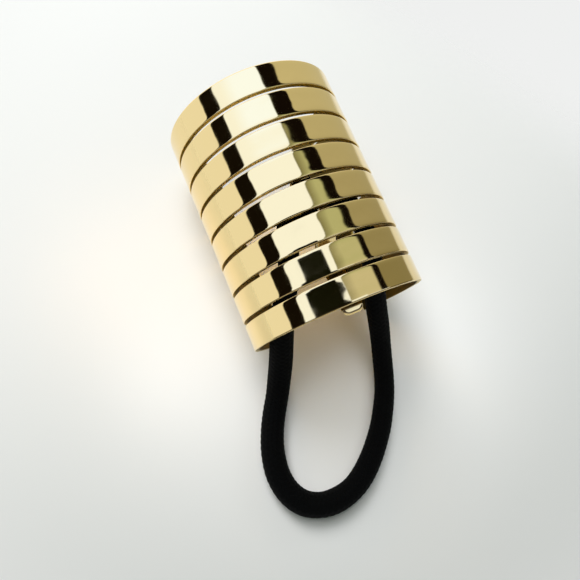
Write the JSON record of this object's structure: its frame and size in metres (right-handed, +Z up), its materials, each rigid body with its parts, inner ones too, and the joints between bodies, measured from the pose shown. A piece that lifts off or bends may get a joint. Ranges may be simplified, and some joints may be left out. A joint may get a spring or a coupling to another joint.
{
  "type": "ponytail cuff with elastic loop",
  "caption": "Slotted metal sleeve, open along one side, with a hook strip and a round elastic loop that holds it over a ponytail's base",
  "frame": {"origin": "on the surface that the sleeve stands on, under the middle of the metal, hook included", "axes": "+Z up through the sleeve's crown, +Y along the sleeve to its rear end, +X to the right seen from the end with the hook"},
  "size_m": [0.0407, 0.0788, 0.031],
  "materials": {
    "gold_plate": "polished pale gold plating",
    "black_braid": "matte woven sleeve over rubber"
  },
  "bodies": {
    "root": {"cuff": "gold_plate", "elastic": "black_braid"}
  },
  "joints": []
}
